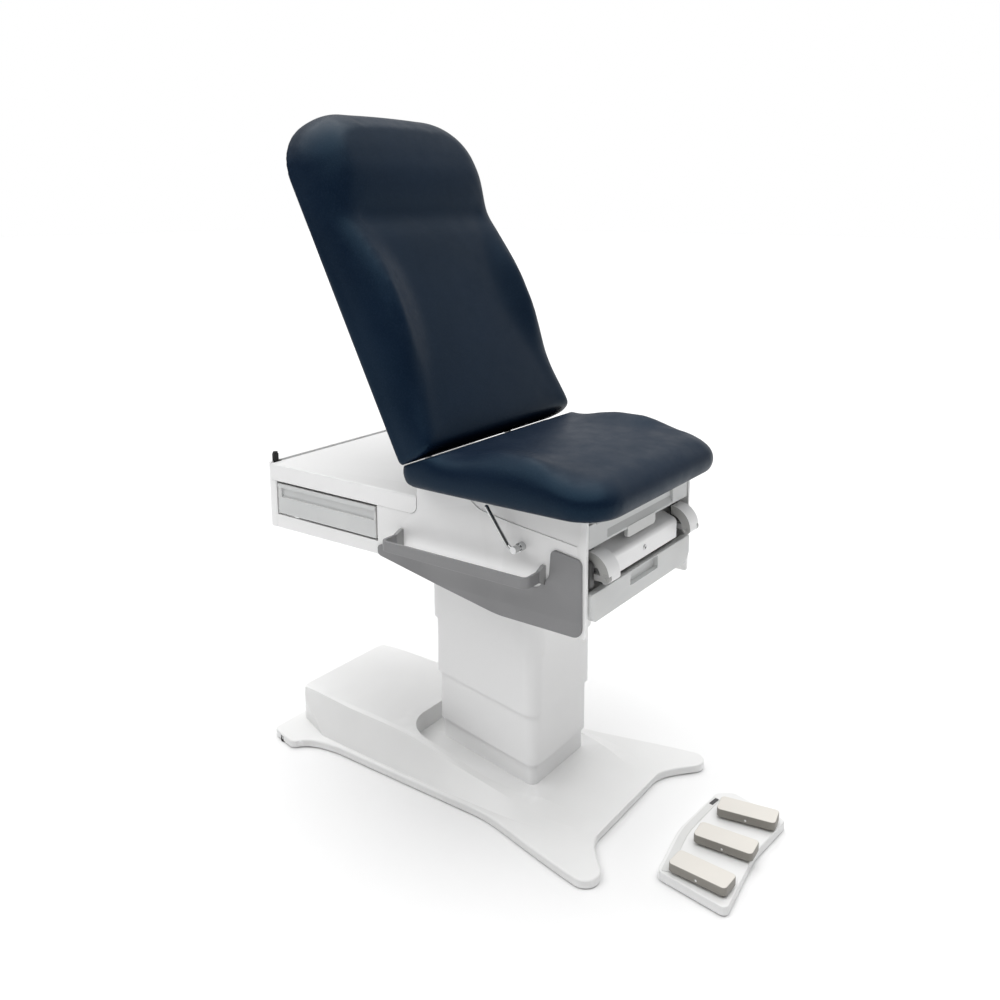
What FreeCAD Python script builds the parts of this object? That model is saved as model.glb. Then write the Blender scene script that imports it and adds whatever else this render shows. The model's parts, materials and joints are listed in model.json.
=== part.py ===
import FreeCAD
import Part
import math
import os

# Powered medical exam table.  Millimetres, +Z up, the foot end faces -Y, the
# patient's head is towards +Y.  The origin is on the floor, under the middle
# of the base.

V = FreeCAD.Vector

# Body
BODY_HALF_WIDTH = 260.0
BODY_FRONT = -505.0
CABINET_REAR = 540.0
REAR_PANEL_END = 559.0
CABINET_BOTTOM = 650.0
COVER_TOP = 835.0
COVER_SKIRT_BOTTOM = 787.0
COVER_FRONT = -4.0
PANEL_TOP = 865.0
PANEL_BOTTOM = 585.0
PANEL_THICKNESS = 8.0
BAY_FRONT = 133.0
BAY_REAR = 522.0
BAY_FLOOR = 688.0

# Telescopic column: a tapered section, wide towards the foot end
COLUMN_FRONT = -284.0
COLUMN_REAR = 107.0
COLUMN_HALF_FRONT = 145.0
COLUMN_HALF_REAR = 75.0
COLUMN_CORNER = 34.0
STAGE_STEP = 8.0
SHROUD_WALL = 3.0
WELL_FLOOR = 58.0
STAGE_SPANS = {1: (425.0, 640.0), 2: (260.0, 478.0), 3: (116.0, 312.0), 4: (WELL_FLOOR, 172.0)}
TUBE_SPANS = {1: (24.0, 263.0), 2: (238.0, 475.0), 3: (450.0, 643.0), 4: (618.0, 780.0)}
TUBE_HALF_X = 75.0
TUBE_HALF_Y = 55.0
TUBE_STEP = 8.0
TUBE_WALL = 5.0
TUBE_Y = -88.0

# Base
PLATE_BOTTOM = 4.0
PLATE_TOP = 24.0
HOUSING_REAR = 552.0
WELL_HALF_WIDTH = 166.0
WELL_REAR = 150.0
WELL_CORNER = 90.0

# Upholstery
PAD_HALF_WIDTH = 330.0
SEAT_FRONT = -580.0
SEAT_FRONT_CORNER = 115.0
SEAT_BOTTOM = 868.3
SEAT_TOP = 984.0
SEAT_DISH = 968.0
BACK_PIVOT_Y = -25.3
BACK_PIVOT_Z = 850.8
BACK_REST_ANGLE = 63.0
BACK_START = 54.0
BACK_FOOT_CORNER = 14.0
BACK_END = 986.0
BACK_UNDERSIDE = 875.0
HEAD_RADIUS = 170.0
SHELL_THICKNESS = 11.0
CENTRE_PANEL_HALF_WIDTH = 210.0
CENTRE_PANEL_TOP = 980.0
CRANK_LENGTH = 48.0
CRANK_LEAD = 25.25
ACTUATOR_Z = 806.0
SHAFT_RADIUS = 8.0
RUNNING_CLEARANCE = 0.08

# Foot end
STIRRUP_X = 204.0
STIRRUP_Z = 727.0
CUP_PIVOT_Y = -536.0
CUP_CENTRE_Y = -490.0
CUP_OUTER = 57.0
CUP_INNER = 34.0
CUP_WIDTH = 50.0
CUP_END_RADIUS = (CUP_OUTER - CUP_INNER) / 2
TONGUE_OUTER = 230.0
TONGUE_INNER = 219.6
LEVER_PIVOT = (-330.0, 773.0)
RAIL_OUT = 334.0

# Foot control
PEDAL_X = (-157.0, -22.0, 112.0)
PEDAL_FAN = (-3.0, 4.0, 10.0)
PEDAL_Y = -762.0
PEDAL_LENGTH = 148.0
PEDAL_WIDTH = 60.0
PEDAL_AXIS_Z = 41.0
PEDAL_TOP = 55.0


# ---------------------------------------------------------------- helpers
def box(x0, x1, y0, y1, z0, z1):
    return Part.makeBox(x1 - x0, y1 - y0, z1 - z0, V(x0, y0, z0))


def rod(start, end, radius):
    a, b = V(*start), V(*end)
    return Part.makeCylinder(radius, (b - a).Length, a, b - a)


def fuse(shapes):
    shape = shapes[0]
    for other in shapes[1:]:
        shape = shape.fuse(other)
    return shape.removeSplitter()


def mirrored(shape):
    return shape.mirror(V(0, 0, 0), V(1, 0, 0))


def both_sides(shape):
    return Part.makeCompound([shape, mirrored(shape)])


def save(name, shape):
    """Write one node; a group of separate solids stays a compound."""
    solids = shape.Solids
    out = solids[0] if len(solids) == 1 else Part.makeCompound(solids)
    out.exportStep("parts/" + name + ".step")


def rounded_wire(points, radii):
    """Closed wire through coplanar points, each corner rounded by an arc."""
    count = len(points)
    edges = []
    ends = []
    for i in range(count):
        corner = V(*points[i])
        before = (V(*points[i - 1]) - corner).normalize()
        after = (V(*points[(i + 1) % count]) - corner).normalize()
        if radii[i] <= 0:
            ends.append((corner, corner, corner))
            continue
        half = before.getAngle(after) / 2.0
        reach = radii[i] / math.tan(half)
        bisector = (before + after).normalize()
        middle = corner + bisector * (radii[i] / math.sin(half) - radii[i])
        ends.append((corner + before * reach, middle, corner + after * reach))
    for i in range(count):
        first, middle, last = ends[i]
        if (last - first).Length > 1e-6:
            edges.append(Part.Arc(first, middle, last).toShape())
        following = ends[(i + 1) % count][0]
        if (following - last).Length > 1e-6:
            edges.append(Part.LineSegment(last, following).toShape())
    return Part.Wire(edges)


def prism(points, radii, offset):
    """Extrude a rounded outline by the offset vector."""
    if not isinstance(radii, (list, tuple)):
        radii = [radii] * len(points)
    return Part.Face(rounded_wire(points, radii)).extrude(V(*offset))


def side_prism(outline, radii, x0, x1):
    """Extrude an outline given as (y, z) points from x0 to x1."""
    return prism([(x0, y, z) for y, z in outline], radii, (x1 - x0, 0, 0))


def plan_prism(outline, radii, z0, z1):
    """Extrude an outline given as (x, y) points from z0 to z1."""
    return prism([(x, y, z0) for x, y in outline], radii, (0, 0, z1 - z0))


def rounded_box(x0, x1, y0, y1, z0, z1, radius):
    return plan_prism([(x0, y0), (x1, y0), (x1, y1), (x0, y1)], radius, z0, z1)


def fillet_at(shape, radius, test):
    """Round the edges whose every vertex passes the test."""
    edges = [e for e in shape.Edges if all(test(v.Point) for v in e.Vertexes)]
    return shape.makeFillet(radius, edges)


def bar(start, end, width, z0, z1):
    """Flat bar in plan, from one (x, y) point to another, with round ends."""
    a, b = V(start[0], start[1], z0), V(end[0], end[1], z0)
    along = (b - a).normalize()
    across = V(-along.y, along.x, 0) * (width / 2.0)
    corners = [a + across, a - across, b - across, b + across, a + across]
    slab = Part.Face(Part.makePolygon(corners)).extrude(V(0, 0, z1 - z0))
    ends = [Part.makeCylinder(width / 2.0, z1 - z0, p) for p in (a, b)]
    return fuse([slab] + ends)


def tray(x0, x1, y0, y1, z0, z1, wall):
    """Open-topped box."""
    inner = box(x0 + wall, x1 - wall, y0 + wall, y1 - wall, z0 + wall, z1 + wall)
    return box(x0, x1, y0, y1, z0, z1).cut(inner)


# ---------------------------------------------------------------- column
def column_outline(inset):
    """Corner points of the tapered column section, moved in by inset."""
    slope = (COLUMN_HALF_FRONT - COLUMN_HALF_REAR) / (COLUMN_REAR - COLUMN_FRONT)
    shrink = inset * math.sqrt(1.0 + slope * slope)
    front, rear = COLUMN_FRONT + inset, COLUMN_REAR - inset
    half_front = COLUMN_HALF_FRONT - slope * inset - shrink
    half_rear = COLUMN_HALF_REAR + slope * inset - shrink
    return [(-half_front, front), (half_front, front), (half_rear, rear), (-half_rear, rear)]


def column_block(inset, z0, z1):
    return plan_prism(column_outline(inset), COLUMN_CORNER - inset, z0, z1)


def shroud_stage(stage):
    inset = (stage - 2) * STAGE_STEP
    z0, z1 = STAGE_SPANS[stage]
    return column_block(inset, z0, z1).cut(column_block(inset + SHROUD_WALL, z0, z1))


def lift_tube(stage):
    inset = (stage - 1) * TUBE_STEP
    z0, z1 = TUBE_SPANS[stage]
    half_x, half_y = TUBE_HALF_X - inset, TUBE_HALF_Y - inset
    outer = rounded_box(-half_x, half_x, TUBE_Y - half_y, TUBE_Y + half_y, z0, z1, 8.0)
    half_x -= TUBE_WALL
    half_y -= TUBE_WALL
    return outer.cut(rounded_box(-half_x, half_x, TUBE_Y - half_y, TUBE_Y + half_y, z0, z1, 4.0))


def column_parts():
    for stage in (1, 2, 3, 4):
        save("column_shroud_%d" % stage, shroud_stage(stage))
    flange = rounded_box(-95, 95, TUBE_Y - 75, TUBE_Y + 75, 16, 24, 12)
    save("lift_tube_1", fuse([flange, lift_tube(1)]))
    for stage in (2, 3, 4):
        save("lift_tube_%d" % stage, lift_tube(stage))


# ---------------------------------------------------------------- base
def plate_points(*places):
    return [V(x, y, PLATE_BOTTOM) for x, y in places]


def base_plate():
    """Low plate that spreads into four feet."""
    p = plate_points((0, -480), (130, -480), (258, -552), (318, -518), (246, -150), (246, 330),
                     (286, 447), (299, 474), (284, 542), (258, 562), (0, 562))
    toe = Part.BSplineCurve()
    toe.interpolate([p[1]] + plate_points((180, -490), (222, -519)) + [p[2]])
    front_side = Part.BSplineCurve()
    front_side.interpolate([p[3]] + plate_points((300, -430), (270, -305), (250, -215)) + [p[4]])
    rear_side = Part.BSplineCurve()
    rear_side.interpolate([p[5]] + plate_points((254, 385), (270, 428)) + [p[6]])
    edges = [
        Part.LineSegment(p[0], p[1]).toShape(),
        toe.toShape(),
        Part.Arc(p[2], V(300, -555, PLATE_BOTTOM), p[3]).toShape(),
        front_side.toShape(),
        Part.LineSegment(p[4], p[5]).toShape(),
        rear_side.toShape(),
        Part.Arc(p[6], V(297, 458, PLATE_BOTTOM), p[7]).toShape(),
        Part.LineSegment(p[7], p[8]).toShape(),
        Part.Arc(p[8], V(276, 557, PLATE_BOTTOM), p[9]).toShape(),
        Part.LineSegment(p[9], p[10]).toShape(),
        Part.LineSegment(p[10], p[0]).toShape()]
    half = Part.Face(Part.Wire(edges)).extrude(V(0, 0, PLATE_TOP - PLATE_BOTTOM))
    plate = fuse([half, mirrored(half)])
    return fillet_at(plate, 5.0, lambda v: v.z > PLATE_TOP - 0.01)


def housing_loft(inset, floor):
    """Raised housing: a nose in front of the column that climbs to the rear hump.

    Each station gives y, the half-width and height of the foot of the wall,
    of the crease and of the flat top.
    """
    stations = (
        (-482, 200, 143, 24.5, 100, 25), (-400, 222, 172, 28, 130, 40),
        (-310, 234, 186, 38, 150, 58), (-208, 237, 188, 53, 168, 60),
        (-43, 238, 187, 79, 178, 82), (67, 238, 186, 100, 176, 104),
        (170, 237, 185, 110, 174, 114), (350, 233, 182, 112, 170, 116),
        (HOUSING_REAR, 216, 172, 112, 160, 116))
    wires = []
    for y, foot, crease, crease_z, top, top_z in stations:
        right = [(foot - inset, floor), (crease - inset, crease_z - inset), (top - inset, top_z - inset)]
        left = [(-x, z) for x, z in reversed(right)]
        outline = [V(x, y, z) for x, z in right + left]
        wires.append(Part.makePolygon(outline + [outline[0]]))
    return Part.makeLoft(wires, True, False)


def well_block(grow, z0):
    half = WELL_HALF_WIDTH + grow
    outline = [(-half, -330), (half, -330), (half, WELL_REAR + grow), (-half, WELL_REAR + grow)]
    return plan_prism(outline, [0, 0, WELL_CORNER + grow, WELL_CORNER + grow], z0, 200)


def frame_bars(grow, z0, z1):
    """Welded steel cross under the cover, also used to clear room for it."""
    width = 36 + 2 * grow
    right = [bar((284, -520), (120, -390), width, z0, z1), bar((272, 512), (120, 400), width, z0, z1),
             bar((120, -390), (120, 400), width, z0, z1)]
    cross = [bar((-120, -390), (120, -390), width, z0, z1), bar((-120, 400), (120, 400), width, z0, z1),
             box(-120, 120, TUBE_Y - 85 - grow, 50 + grow, z0, z1)]
    return fuse(right + [mirrored(s) for s in right] + cross)


def base_parts():
    plan = plan_prism([(-252, -700), (252, -700), (252, 342), (180, 549), (-180, 549), (-252, 342)],
                      [0, 0, 70, 48, 48, 70], 0, 200)
    housing = housing_loft(0, 20).common(plan)
    hollow_plan = plan_prism([(-240, -410), (240, -410), (240, 330), (168, 541), (-168, 541), (-240, 330)],
                             [20, 20, 60, 40, 40, 60], 0, 200)
    hollow = housing_loft(6, PLATE_BOTTOM - 1).common(hollow_plan).cut(well_block(6, WELL_FLOOR - 6))
    cover = fuse([base_plate(), housing]).cut(well_block(0, WELL_FLOOR)).cut(hollow)
    cover = cover.cut(frame_bars(2, 0, 18)).cut(column_block(24, 0, 100))
    inlet_hole = box(-121, -79, 520, 570, 49, 81)
    save("base_cover", cover.cut(inlet_hole))
    save("base_frame", frame_bars(0, 6, 16))
    feet = [Part.makeCylinder(20, 6, V(x, y, 0)) for x, y in ((284, -520), (272, 512))]
    middle = Part.makeCylinder(40, 6, V(0, 0, 0))
    save("levelling_feet", Part.makeCompound(feet + [mirrored(f) for f in feet] + [middle]))
    box_body = rounded_box(-110, 110, 250, 440, 16, 92, 10)
    save("control_box", fillet_at(box_body, 4, lambda v: v.z > 91))
    inlet = box(-120, -80, 525, 551, 50, 80).cut(box(-113, -87, 537, 560, 56, 74))
    save("power_inlet", inlet)
    cap = Part.makeCylinder(11, 5, V(TUBE_HALF_X + 9, TUBE_Y + 60, 24))
    caps = [cap, cap.translated(V(0, -120, 0))]
    save("column_bolts", Part.makeCompound(caps + [mirrored(c) for c in caps]))


# ---------------------------------------------------------------- body casing
def cover_profile(grow):
    """Side outline of the rear top cover as (y, z) points and corner radii."""
    bottom, front = COVER_SKIRT_BOTTOM - grow, COVER_FRONT - grow
    points = [(front, COVER_TOP), (front, bottom), (CABINET_REAR, bottom), (CABINET_REAR, COVER_TOP)]
    return points, [0.0, 22.0 + grow, 0.0, 0.0]


def side_panel():
    """Left casing panel with the drawer bay cut out of its rear part."""
    x0 = -BODY_HALF_WIDTH
    x1 = x0 + PANEL_THICKNESS
    front = side_prism([(BODY_FRONT, PANEL_BOTTOM), (-262, PANEL_BOTTOM), (131, 653), (526, 650),
                        (526, PANEL_TOP), (BODY_FRONT, PANEL_TOP)], [6, 260, 0, 0, 0, 4], x0, x1)
    points, radii = cover_profile(1.2)
    points[0] = (points[0][0], PANEL_TOP + 10)
    points[2] = (600, points[2][1])
    points[3] = (600, PANEL_TOP + 10)
    panel = front.cut(side_prism(points, radii, x0 - 1, x1 + 1))
    panel = panel.cut(box(x0 - 1, x1 + 1, BAY_FRONT, BAY_REAR, BAY_FLOOR, 800))
    recess = side_prism([(-491, 900), (-489, 830), (-481, 801), (-286, 824), (-200, 838), (-120, 900)],
                        [0, 20, 3, 60, 60, 0], x0 - 1, x0 + 2.0)
    return panel.cut(recess)


def side_trim():
    """Left grey lower trim with a raised tab at the foot end and a bevelled lower half."""
    outer = side_prism([(130, 683), (-374, 681), (-408, 716), (-413, 784), (-495, 772), (-497, 584),
                        (-256, 584), (130, 654)], [12, 28, 22, 13, 16, 26, 260, 12], -266, -260)
    bevel = prism([(-267, 600, 634), (-267, 600, 570), (-261.5, 600, 570)], 0, (0, -1200, 0))
    outer = fillet_at(outer.cut(bevel), 1.2, lambda v: v.x < -265.9)
    return outer.cut(box(-267, -259, -398, -370, 695, 742))


def grab_rail():
    """Left flat-bar rail with flared feet."""
    height, thick = 27.0, 8.0
    z0 = 704.0
    path_outer = [(-260, -395), (-RAIL_OUT - 4, -395), (-RAIL_OUT - 4, 51), (-260, 51)]
    path_inner = [(-260, 43), (-RAIL_OUT + 4, 43), (-RAIL_OUT + 4, -387), (-260, -387)]
    rail = plan_prism(path_outer + path_inner, [0, 17, 17, 0, 0, 9, 9, 0], z0, z0 + height)
    rail = fillet_at(rail, 1.5, lambda v: v.x < -262 and (v.z < z0 + 0.1 or v.z > z0 + height - 0.1))
    feet = []
    for y in (-391.0, 47.0):
        foot = prism([(-260, y, 696), (-260, y, 740), (-266, y, 740), (-288, y, z0 + height - 1),
                      (-288, y, z0 + 1), (-266, y, 696)], [0, 0, 4, 10, 10, 4], (0, thick + 2, 0))
        feet.append(foot.translated(V(0, -thick / 2 - 1, 0)))
    return fuse([rail] + feet)


def casing_parts():
    panel = side_panel()
    save("side_panel_left", panel)
    save("side_panel_right", mirrored(panel))
    trim = side_trim()
    save("side_trims", both_sides(trim))
    rail = grab_rail()
    save("grab_rails", both_sides(rail))

    points, radii = cover_profile(0)
    half = BODY_HALF_WIDTH + 2
    outer = side_prism(points, radii, -half, half)
    outer = fillet_at(outer, 5.0, lambda v: v.z > COVER_TOP - 0.1)
    inner = box(-half + 4, half - 4, -40, CABINET_REAR - 4, 700, COVER_TOP - 4)
    notch_sides = ((-30, 30), (-184, -162), (162, 184))
    notches = [rounded_box(x0, x1, -60, 98, 800, 850, 6) for x0, x1 in notch_sides]
    save("cabinet_cover", outer.cut(inner).cut(fuse(notches)))

    half = BODY_HALF_WIDTH
    end = rounded_box(-half, half, 500, REAR_PANEL_END, CABINET_BOTTOM, COVER_TOP + 1, 15)
    end = end.cut(rounded_box(-252, 252, 480, CABINET_REAR + 10, 640, 850, 8))
    end = end.cut(box(-300, 300, 480, CABINET_REAR + 0.8, COVER_SKIRT_BOTTOM - 1.5, 850))
    save("rear_panel", end.cut(box(-300, 300, 480, 526.5, 600, 850)))

    floor = box(-252, 252, 137, 526, CABINET_BOTTOM, CABINET_BOTTOM + 3)
    bulkhead = box(-252, 252, 137, 140, CABINET_BOTTOM, 785)
    dividers = [box(x, x + 2, 140, 526, CABINET_BOTTOM, 785) for x in (-42, 40)]
    save("cabinet_carcass", fuse([floor, bulkhead] + dividers))

    stand = box(-242, -222, CABINET_REAR + 0.8, CABINET_REAR + 9.8, COVER_TOP - 30, COVER_TOP + 1)
    stem = Part.makeCylinder(9, 20, V(-236, 549.5, COVER_TOP + 1))
    cap = Part.makeCylinder(7, 6, V(-236, 549.5, COVER_TOP + 21))
    bumper = fillet_at(fuse([stand, stem, cap]), 1.5, lambda v: v.z > COVER_TOP + 26.9)
    save("rest_bumpers", both_sides(bumper))


# ---------------------------------------------------------------- body structure
def structure_parts():
    rail = box(-250, -228, -482, 520, 790, 830).cut(box(-247, -231, -490, 530, 793, 827))
    bracket_stub = box(-230, -150, -68, -44, 794, 830)
    rear_cross = box(-230, 230, 496, 520, 790, 830)
    save("upper_frame", fuse([rail, mirrored(rail), bracket_stub, mirrored(bracket_stub), rear_cross]))
    save("lift_head_plate", box(-246, 246, -190, 50, 780, 790))

    plate = box(-246, -242, -460, -300, 600, 790)
    guide = box(-216, -192, -480, -320, 716, 738).cut(box(-212.4, -195.6, -490, -280, 719.6, 734.4))
    bracket = box(-243, -215, -460, -320, 716, 719)
    left = fuse([plate, guide, bracket])
    rear = box(-245, 245, -304, -300, 612, 700)
    save("front_chassis", fuse([left, mirrored(left), rear]))

    runners = [box(-242, -219.5, -488, -304.5, 640, 654)]
    runners += [box(-248, -50, y0, y0 + 12, 702, 716) for y0 in (140, 514)]
    save("drawer_runners", Part.makeCompound(runners + [mirrored(r) for r in runners]))

    extension_runner = box(-228, -205.5, -480, -125, 800, 826).cut(box(-215, -200, -490, -110, 805, 821))
    save("leg_extension_runners", both_sides(extension_runner))

    pan = rounded_box(-250, 250, -515, -46, 858, 867, 18)
    lip = box(-232, 232, -515, -511.5, 853.5, 858)
    legs = box(-246, -232, -470, -80, 830, 858)
    save("seat_pan", fuse([pan, lip, legs, mirrored(legs)]))

    y, z = BACK_PIVOT_Y, BACK_PIVOT_Z
    web = side_prism([(-68, 830), (-44, 830), (y, z - 12), (y, z + 12), (y - 12, z)],
                     [0, 6, 0, 0, 6], -190, -181)
    ear = fuse([web, rod((-190, y, z), (-181, y, z), 13)])
    ear = ear.cut(rod((-200, y, z), (-140, y, z), SHAFT_RADIUS + RUNNING_CLEARANCE))
    save("hinge_brackets", both_sides(ear))

    axis = ACTUATOR_Z
    tube = rod((0, 62, axis), (0, 335, axis), 12.5).cut(rod((0, 50, axis), (0, 320, axis), 8.4))
    motor = rounded_box(-30, 30, 330, 430, 740, 824, 8)
    save("back_actuator_body", fuse([tube, motor]))


# ---------------------------------------------------------------- upholstery
def back_rotation(shape, angle=BACK_REST_ANGLE):
    """Turn a shape drawn in the flat position up about the back hinge."""
    turned = shape.copy()
    turned.rotate(V(0, BACK_PIVOT_Y, BACK_PIVOT_Z), V(1, 0, 0), angle)
    return turned


def back_block(inset, z0, z1):
    """Plan shape of the backrest, drawn flat: square foot, rounded head."""
    half = PAD_HALF_WIDTH - inset
    start, end = BACK_START + inset, BACK_END - inset
    outline = [(-half, start), (half, start), (half, end), (-half, end)]
    radii = [BACK_FOOT_CORNER, BACK_FOOT_CORNER, HEAD_RADIUS - inset, HEAD_RADIUS - inset]
    return plan_prism(outline, radii, z0, z1)


def crank_end():
    """Centre of the crank pin, as (y, z), with the backrest at rest."""
    lead = math.radians(CRANK_LEAD)
    return BACK_PIVOT_Y + CRANK_LENGTH * math.sin(lead), BACK_PIVOT_Z - CRANK_LENGTH * math.cos(lead)


def upholstery_parts():
    half = PAD_HALF_WIDTH
    section = side_prism([(SEAT_FRONT, 884), (-566, SEAT_BOTTOM), (-24, SEAT_BOTTOM), (0, 888), (0, 928),
                          (-100, 950), (-180, 974), (-300, SEAT_TOP), (-440, 970), (SEAT_FRONT, 930)],
                         [14, 14, 14, 20, 24, 160, 200, 300, 200, 40], -half, half)
    plan = plan_prism([(-half, SEAT_FRONT), (half, SEAT_FRONT), (half, 0), (-half, 0)],
                      [SEAT_FRONT_CORNER, SEAT_FRONT_CORNER, 40, 40], SEAT_BOTTOM - 1, SEAT_TOP + 1)
    above = SEAT_TOP + 10
    dish = side_prism([(-470, above), (-360, SEAT_DISH), (-230, SEAT_DISH), (-140, above)], 0, -190, 190)
    save("seat_cushion", section.common(plan).cut(dish))

    section = side_prism([(BACK_START, BACK_UNDERSIDE), (BACK_START, 926), (110, 975), (250, 1000),
                          (400, 1014), (640, 988), (760, 998), (880, 968), (BACK_END, 930),
                          (BACK_END, BACK_UNDERSIDE)],
                         [3, 26, 90, 200, 500, 260, 160, 200, 30, 12], -half, half)
    padding = section.common(back_block(0, BACK_UNDERSIDE, 1020))
    inner, top = CENTRE_PANEL_HALF_WIDTH, CENTRE_PANEL_TOP
    hollow = prism([(-inner - 40, 130, 1020), (-inner, 130, top), (inner, 130, top),
                    (inner + 40, 130, 1020)], 0, (0, 520, 0))
    slopes = side_prism([(130, 1020), (260, top), (520, top), (650, 1020)], 0, -half, half)
    save("backrest_cushion", back_rotation(padding.cut(hollow.common(slopes))))
    shell = back_block(22, BACK_UNDERSIDE - SHELL_THICKNESS, BACK_UNDERSIDE)
    save("backrest_shell", back_rotation(shell))


def hinge_parts():
    """Moving steelwork of the backrest, and the yoke that pushes its crank."""
    y, z = BACK_PIVOT_Y, BACK_PIVOT_Z
    side = box(-178, -158, 84, 720, 843.5, 863.5)
    arm = side_prism([(y - 11, z + 3), (y - 8, z - 9), (-12, 821), (72, 821), (94, 843.5), (94, 863.5),
                      (80, 863.5), (60, 837), (-8, 837), (y + 11, z + 3)],
                     [0, 0, 10, 12, 0, 0, 6, 12, 10, 0], -178, -168)
    half = [side, arm, rod((-178, y, z), (-168, y, z), 12)]
    cross = [box(-178, 178, y0, y0 + 20, 843.5, 863.5) for y0 in (84, 390, 700)]
    frame = fuse(half + [mirrored(s) for s in half] + cross)
    frame = frame.cut(rod((-200, y, z), (200, y, z), SHAFT_RADIUS))
    save("backrest_frame", back_rotation(frame))
    save("hinge_shaft", rod((-192, y, z), (192, y, z), SHAFT_RADIUS))

    tip_y, tip_z = crank_end()
    web = side_prism([(y - 11, z), (tip_y - 8, tip_z), (tip_y + 8, tip_z), (y + 11, z)], 0, -8, 8)
    hub = rod((-8, y, z), (8, y, z), 13)
    nose = rod((-8, tip_y, tip_z), (8, tip_y, tip_z), 9)
    pin = rod((-16, tip_y, tip_z), (16, tip_y, tip_z), 6)
    crank = fuse([web, hub, nose, pin]).cut(rod((-20, y, z), (20, y, z), SHAFT_RADIUS))
    save("backrest_crank", crank)

    cheek = box(9, 15, tip_y - 14, tip_y + 18, 791, 824)
    cheek = cheek.cut(box(0, 20, tip_y - 8.5, tip_y + 8.5, 794.5, 820.5))
    bridge = box(-15, 15, tip_y + 18, tip_y + 24, 795, 820)
    push_rod = rod((0, tip_y + 22, ACTUATOR_Z), (0, 240, ACTUATOR_Z), 8)
    save("back_actuator_rod", fuse([cheek, mirrored(cheek), bridge, push_rod]))


# ---------------------------------------------------------------- drawers
def side_drawer():
    """Left storage drawer: the face, and the tray behind it."""
    x0 = -BODY_HALF_WIDTH
    y0, y1 = BAY_FRONT + 7, BAY_REAR - 5
    plate = box(x0, x0 + 9, y0, y1, 693, 742)
    plate = fillet_at(plate, 1.5, lambda v: v.x < x0 + 0.1)
    lip = fillet_at(box(x0 - 1, x0 + 9, y0, y1, 768, 780), 1.5, lambda v: v.x < x0)
    back = box(x0 + 6.5, x0 + 9, y0, y1, 742, 768)
    ends = [box(x0 + 1, x0 + 9, y0, y0 + 7, 742, 768), box(x0 + 1, x0 + 9, y1 - 14, y1, 742, 768)]
    face = fuse([plate, lip, back] + ends)
    body = tray(x0 + 9, -50, 153, 513, 697, 770, 2.5)
    return face, body


def drawer_parts():
    face, body = side_drawer()
    save("side_drawer_left_face", face)
    save("side_drawer_left_tray", body)
    save("side_drawer_right_face", mirrored(face))
    save("side_drawer_right_tray", mirrored(body))

    front = BODY_FRONT - 8
    face = prism([(-250, front, 690), (250, front, 690), (250, front, 640), (232, front, 619),
                  (-232, front, 619), (-250, front, 640)], [4, 4, 14, 14, 14, 14], (0, 16, 0))
    face = face.cut(prism([(-70, front - 1, 688), (70, front - 1, 688), (70, front - 1, 655),
                           (-70, front - 1, 655)], 4, (0, 14, 0)).translated(V(0, 0, -1)))
    face = fillet_at(face, 2.0, lambda v: v.y < front + 0.1 and abs(v.x) > 100)
    save("front_drawer_face", face)
    save("front_drawer_tray", tray(-218, 218, front + 16, -306, 624, 684, 2.5))


# ---------------------------------------------------------------- foot end
def foot_end_parts():
    front = BODY_FRONT + 2
    ends = box(-247, -165, front, front + 18, 795, 851)
    ends = fillet_at(ends, 1.5, lambda v: v.y < front + 0.1)
    back = box(-166, 166, front + 9, front + 18, 795, 851)
    top_lip = box(-166, 166, front + 1, front + 12, 840, 851)
    slope = side_prism([(front + 1, 795), (front + 10, 795), (front + 10, 818), (front + 1, 800)], 0,
                       -166, 166)
    tab = prism([(-70, front, 800), (70, front, 800), (70, front, 772), (-70, front, 772)],
                [0, 0, 9, 9], (0, 9, 0))
    save("leg_extension_front", fuse([ends, mirrored(ends), back, top_lip, slope, tab]))
    tray_plate = box(-214, 214, front + 18, -135, 809, 813)
    spine = box(-195, 195, front + 18, front + 24, 813, 845)
    save("leg_extension_tray", fuse([tray_plate, spine]))
    pad = rounded_box(-196, 196, front + 26, -140, 813, 846, 18)
    save("leg_extension_pad", fillet_at(pad, 8, lambda v: v.z > 845))

    hood = [(BODY_FRONT - 7, 704), (BODY_FRONT - 7, 755), (-448, 779), (-440, 779), (-440, 704)]
    inner = [(BODY_FRONT - 4, 690), (BODY_FRONT - 4, 752.5), (-448, 775.5), (-430, 775.5), (-430, 690)]
    cover = side_prism(hood, [3, 14, 10, 0, 0], -172, 172)
    save("stirrup_cover", cover.cut(side_prism(inner, [0, 11, 8, 0, 0], -169, 169)))
    cap = side_prism([(BODY_FRONT - 3, 704), (BODY_FRONT - 3, 762), (-470, 776), (-462, 776), (-462, 704)],
                     [3, 10, 8, 0, 0], -249, -233)
    save("front_end_caps", both_sides(cap))

    arm = box(-212, -196, -518, -135, 720, 734)
    jog = box(-TONGUE_OUTER, -196, -518, -504, 720, 734)
    tongue = box(-TONGUE_OUTER, -TONGUE_INNER, CUP_PIVOT_Y, -505, 720, 734)
    y, z = CUP_PIVOT_Y, STIRRUP_Z
    tip = rod((-TONGUE_OUTER, y, z), (-TONGUE_INNER, y, z), CUP_END_RADIUS)
    arm = fuse([arm, jog, tongue, tip])
    pin = rod((-TONGUE_OUTER - 1.5, y, z), (-182, y, z), 4)
    cup = foot_cup()
    for side, place in (("left", lambda s: s), ("right", mirrored)):
        save("stirrup_arm_" + side, place(fuse([arm, pin])))
        save("stirrup_cup_" + side, place(cup))


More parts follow.
